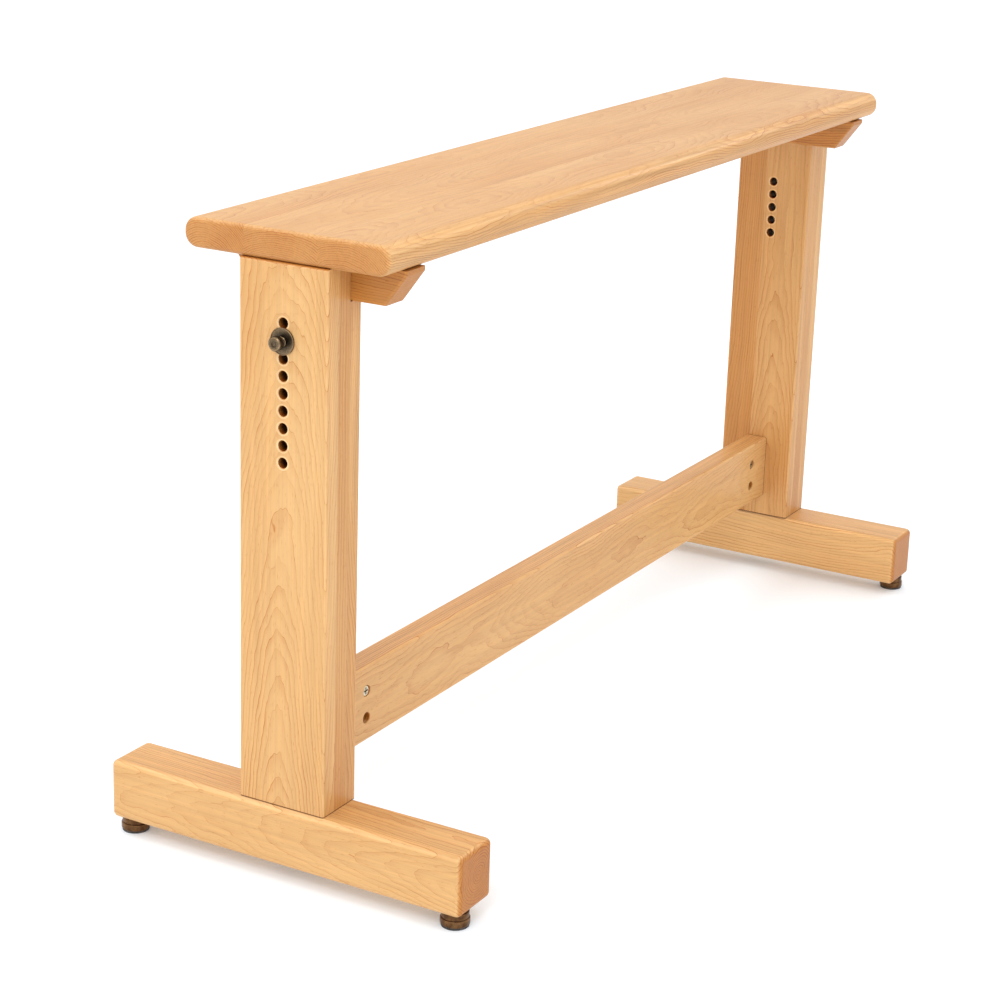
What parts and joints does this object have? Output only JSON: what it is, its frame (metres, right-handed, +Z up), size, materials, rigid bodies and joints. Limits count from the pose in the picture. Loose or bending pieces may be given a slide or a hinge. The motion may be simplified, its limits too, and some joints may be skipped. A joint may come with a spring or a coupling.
{
  "type": "loom bench",
  "caption": "Weaver's bench with a plank seat that lifts out of two hollow posts on sled feet, locked by a bolt at each end, with a low stretcher.",
  "frame": {"origin": "on the floor, under the middle of the seat", "axes": "+X along the seat to the right end, +Y to the back, +Z up"},
  "size_m": [1.148, 0.394, 0.621],
  "materials": {
    "seat_wood": "clear satin lacquer",
    "post_wood": "clear satin lacquer",
    "foot_wood": "clear satin lacquer",
    "stretcher_wood": "clear satin lacquer",
    "cleat_wood": "clear satin lacquer",
    "core_wood": "bare, planed",
    "antique_bronze": "antique bronze, satin",
    "glide_bronze": "brown bronze, satin",
    "pad_plastic": "matte dark",
    "zinc_steel": "bright zinc plate",
    "dark_steel": "dark, satin",
    "brass": "plain"
  },
  "bodies": {
    "frame": {"left_outer_board": "post_wood", "left_inner_board": "post_wood", "left_front_strip": "post_wood", "left_back_strip": "post_wood", "left_filler_block": "core_wood", "left_foot": "foot_wood", "left_dowels": "core_wood", "left_post_bolts": "zinc_steel", "left_washer": "antique_bronze", "right_outer_board": "post_wood", "right_inner_board": "post_wood", "right_front_strip": "post_wood", "right_back_strip": "post_wood", "right_filler_block": "core_wood", "right_foot": "foot_wood", "right_dowels": "core_wood", "right_post_bolts": "zinc_steel", "right_washer": "antique_bronze", "stretcher": "stretcher_wood", "stretcher_studs": "zinc_steel", "upper_cams": "zinc_steel", "lower_cams": "dark_steel", "leveller_sleeves": "zinc_steel"},
    "seat_assembly": {"seat": "seat_wood", "left_cleat": "cleat_wood", "left_tongue": "core_wood", "left_tongue_inserts": "brass", "left_cleat_screws": "zinc_steel", "left_tongue_screws": "zinc_steel", "right_cleat": "cleat_wood", "right_tongue": "core_wood", "right_tongue_inserts": "brass", "right_cleat_screws": "zinc_steel", "right_tongue_screws": "zinc_steel"},
    "left_bolt": {"left_locking_bolt": "antique_bronze"},
    "right_bolt": {"right_locking_bolt": "antique_bronze"},
    "left_front_glide": {"left_front_leveller": "glide_bronze", "left_front_pad": "pad_plastic"},
    "left_back_glide": {"left_back_leveller": "glide_bronze", "left_back_pad": "pad_plastic"},
    "right_front_glide": {"right_front_leveller": "glide_bronze", "right_front_pad": "pad_plastic"},
    "right_back_glide": {"right_back_leveller": "glide_bronze", "right_back_pad": "pad_plastic"}
  },
  "joints": [
    {"name": "seat_lift", "type": "slide", "parent": "frame", "child": "seat_assembly", "axis": [0, 0, 1], "range_m": [0, 0.112]},
    {"name": "left_bolt_slide", "type": "slide", "parent": "frame", "child": "left_bolt", "axis": [-1, 0, 0], "range_m": [-0.0056, 0.018]},
    {"name": "right_bolt_slide", "type": "slide", "parent": "frame", "child": "right_bolt", "axis": [1, 0, 0], "range_m": [-0.0056, 0.018]},
    {"name": "left_front_glide_screw", "type": "slide", "parent": "frame", "child": "left_front_glide", "axis": [0, 0, -1], "range_m": [0, 0.01]},
    {"name": "left_back_glide_screw", "type": "slide", "parent": "frame", "child": "left_back_glide", "axis": [0, 0, -1], "range_m": [0, 0.01]},
    {"name": "right_front_glide_screw", "type": "slide", "parent": "frame", "child": "right_front_glide", "axis": [0, 0, -1], "range_m": [0, 0.01]},
    {"name": "right_back_glide_screw", "type": "slide", "parent": "frame", "child": "right_back_glide", "axis": [0, 0, -1], "range_m": [0, 0.01]}
  ]
}
